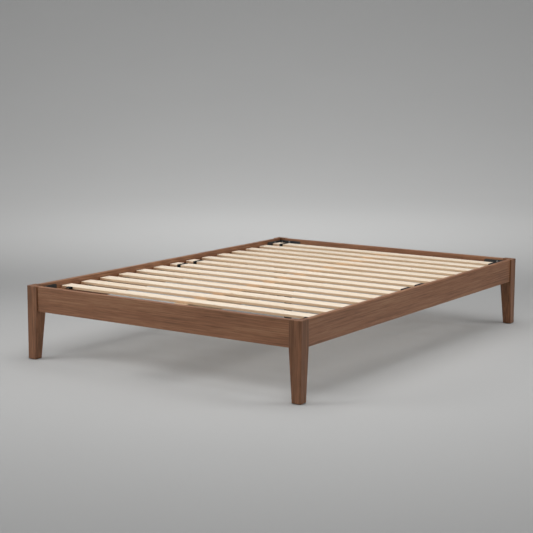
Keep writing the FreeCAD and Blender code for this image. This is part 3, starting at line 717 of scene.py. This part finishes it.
class BED_OT_mould_pad(bpy.types.Operator):
    """Moulded pad on the floor under the levelling stud"""

    bl_idname = "bed.mould_pad"
    bl_label = "Mould pad"

    def execute(self, context):
        low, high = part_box("levelling_pad")
        radius, top = (high.x - low.x) / 2, high.z
        rim, boss, bore, bore_depth = 2.2 * MM, 7.0 * MM, 4.3 * MM, 6.0 * MM
        # flat sole with a fine groove, round rim, cone up to a round boss, bore for the stud
        profile = [(0.0, 0.0), (radius - 4 * MM, 0.0), (radius - 3.6 * MM, 0.5 * MM),
                   (radius - 3.2 * MM, 0.0)]
        profile += arc((radius - rim, rim), rim, -90, 0)
        profile += arc((radius - rim, 4.0 * MM), rim, 0, 80)
        profile += [(boss + 3.0 * MM, top - 2.2 * MM)]
        profile += arc((boss, top - 1.0 * MM), 1.0 * MM, 20, 90)
        profile += [(bore + 0.6 * MM, top), (bore, top - 0.6 * MM), (bore, top - bore_depth),
                    (0.0, top - bore_depth)]
        centre = ((low.x + high.x) / 2, (low.y + high.y) / 2, low.z)
        grid = turned(profile, centre, sides=120, ribs=40, rib_height=0.006)
        piece = surface("moulded_levelling_pad", [grid])
        hand_in(piece, "pad", moulded_black_nylon(context.scene.bed_finish),
                ["levelling_pad"])
        return {"FINISHED"}


class BED_OT_press_glides(bpy.types.Operator):
    """Nail-on glides under the four corner legs"""

    bl_idname = "bed.press_glides"
    bl_label = "Press glides"

    def execute(self, context):
        material = moulded_black_nylon(context.scene.bed_finish)
        for corner in CORNERS:
            low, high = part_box("glide_" + corner)
            radius, top = (high.x - low.x) / 2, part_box("leg_" + corner)[0].z - low.z
            # dished middle, round edge, flat top against the leg
            profile = [(0.0, 0.9 * MM), (3.2 * MM, 0.9 * MM), (3.8 * MM, 0.2 * MM), (4.6 * MM, 0.0)]
            profile += arc((radius - 1.2 * MM, 1.2 * MM), 1.2 * MM, -90, 0, 8)
            profile += [(radius, top - 0.4 * MM), (radius - 0.4 * MM, top), (0.0, top)]
            centre = ((low.x + high.x) / 2, (low.y + high.y) / 2, low.z)
            piece = surface("glide_disc_" + corner, [turned(profile, centre, sides=72)])
            hand_in(piece, "bed_frame", material, ["glide_" + corner])
        return {"FINISHED"}


class BED_OT_lay_weld(bpy.types.Operator):
    """Weld bead between the centre leg's tube and its plate"""

    bl_idname = "bed.lay_weld"
    bl_label = "Lay weld"

    def execute(self, context):
        """The bead is a ring round the tube: a circle carried round, which swells and leans with
        a saw-toothed wave of the turn, one tooth for each drop of the weld."""
        sizes = context.scene.bed_sizes
        low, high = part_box("centre_leg")
        tube_radius, plate, inset, drops = 19.0 * MM, 3.0 * MM, 0.3 * MM, 30
        turn = np.linspace(0, 2 * np.pi, 240, endpoint=False)[:, None]
        section = np.linspace(0, 2 * np.pi, 12, endpoint=False)[None, :]
        drop = (turn * drops / (2 * np.pi)) % 1.0
        swell = sizes.bead_radius * (0.86 + 0.14 * np.sin(np.pi * drop))
        radius = tube_radius + inset + swell * np.cos(section)
        height = high.z - plate - inset + swell * np.sin(section)
        height = np.minimum(height, high.z - plate / 2)
        centre_x, centre_y = (low.x + high.x) / 2, (low.y + high.y) / 2
        grid = np.stack([centre_x + radius * np.cos(turn), centre_y + radius * np.sin(turn),
                         height], -1)
        band = (grid, turn[:, 0] * tube_radius, section[0] * sizes.bead_radius, True)
        piece = surface("weld_bead", [band])
        hand_in(piece, "bed_frame", black_powder_coat(context.scene.bed_finish))
        return {"FINISHED"}


class BED_OT_set_stage(bpy.types.Operator):
    """Pale round cove, soft lights and the camera"""

    bl_idname = "bed.set_stage"
    bl_label = "Set stage"

    def execute(self, context):
        settings = context.scene.bed_stage
        flat, rise, wall = 6.0, 11.0, 13.0
        profile = [(0.0, 0.0), (2.0, 0.0), (5.0, 0.0)]
        profile += arc((flat, rise), rise, -90, 0, 24)
        profile += [(flat + rise, wall)]
        cove = surface("studio_cove", [turned(profile, (0, 0, 0), sides=128)], closed=False)
        cove.data.materials.append(painted_studio_floor(context.scene.bed_finish))

        data = bpy.data.cameras.new("camera")
        camera = bpy.data.objects.new("camera", data)
        context.scene.collection.objects.link(camera)
        data.lens = settings.lens
        data.sensor_width = 36.0
        aim = Vector((0.0, -0.187, 0.383))
        back = Vector((math.sin(settings.azimuth) * math.cos(settings.tilt),
                       -math.cos(settings.azimuth) * math.cos(settings.tilt),
                       math.sin(settings.tilt)))
        camera.location = aim + back * settings.distance
        aimed = Euler((math.pi / 2 - settings.tilt, 0, settings.azimuth)).to_matrix()
        camera.rotation_euler = (aimed @ Matrix.Rotation(settings.roll, 3, "Z")).to_euler()
        context.scene.camera = camera

        softboxes = (("overhead", (0.2, -0.3, 3.4), (0.2, -0.3, 0.0), 3.4, 95),
                     ("left_side", (-4.2, -4.4, 2.8), (0, 0, 0.2), 2.6, 100),
                     ("right_side", (5.0, 2.4, 2.8), (0, 0, 0.2), 2.6, 110),
                     ("high_front", (2.6, -4.2, 4.6), (0, 0, 0.2), 3.0, 100),
                     ("backdrop", (-1.2, 1.8, 5.0), (-6.0, 9.0, 1.2), 3.0, 145))
        for name, place, target, size, spread in softboxes:
            soft_light(context, name, place, target, size, spread, getattr(settings, name))
        context.scene.view_settings.view_transform = "Standard"
        world = bpy.data.worlds.new("studio")
        context.scene.world = world
        world.use_nodes = True
        background = world.node_tree.nodes["Background"]
        background.inputs["Color"].default_value = linear("#F2F3F5")
        background.inputs["Strength"].default_value = settings.sky
        return {"FINISHED"}


def soft_light(context, name, place, target, size, spread, power):
    """Square softbox facing a point, with its beam's spread in degrees."""
    data = bpy.data.lights.new(name, "AREA")
    data.shape = "SQUARE"
    data.size = size
    data.spread = math.radians(spread)
    data.energy = power
    light = bpy.data.objects.new(name, data)
    context.scene.collection.objects.link(light)
    light.visible_camera = False
    light.location = place
    light.rotation_euler = (Vector(target) - Vector(place)).to_track_quat("-Z", "Y").to_euler()


OPERATORS = (BED_OT_set_stage, BED_OT_finish_walnut, BED_OT_finish_pine, BED_OT_finish_hardware,
             BED_OT_weave_tapes, BED_OT_cut_thread, BED_OT_mould_pad, BED_OT_press_glides,
             BED_OT_lay_weld)


class BED_PT_panel(bpy.types.Panel):
    """Lists the bed's settings and the steps that make its finish"""

    bl_idname = "BED_PT_panel"
    bl_label = "Slatted bed"
    bl_space_type = "VIEW_3D"
    bl_region_type = "UI"
    bl_category = "Bed"

    def draw(self, context):
        layout = self.layout
        for group in (context.scene.bed_finish, context.scene.bed_sizes, context.scene.bed_stage):
            column = layout.column(align=True)
            for name in group.__annotations__:
                column.prop(group, name)
        for operator in OPERATORS:
            layout.operator(operator.bl_idname)


CLASSES = (BedFinish, BedSizes, BedStage, *OPERATORS, BED_PT_panel)
GROUPS = {"bed_finish": BedFinish, "bed_sizes": BedSizes, "bed_stage": BedStage}


def register():
    """Register the classes and hang the settings on the scene."""
    for made in CLASSES:
        bpy.utils.register_class(made)
    for name, group in GROUPS.items():
        setattr(bpy.types.Scene, name, bpy.props.PointerProperty(type=group))


def unregister():
    """Take the settings off the scene and unregister the classes."""
    for name in GROUPS:
        delattr(bpy.types.Scene, name)
    for made in reversed(CLASSES):
        bpy.utils.unregister_class(made)


def main():
    """Register the add-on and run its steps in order."""
    register()
    for operator in OPERATORS:
        family, name = operator.bl_idname.split(".")
        getattr(getattr(bpy.ops, family), name)()


if __name__ == "__main__":
    main()
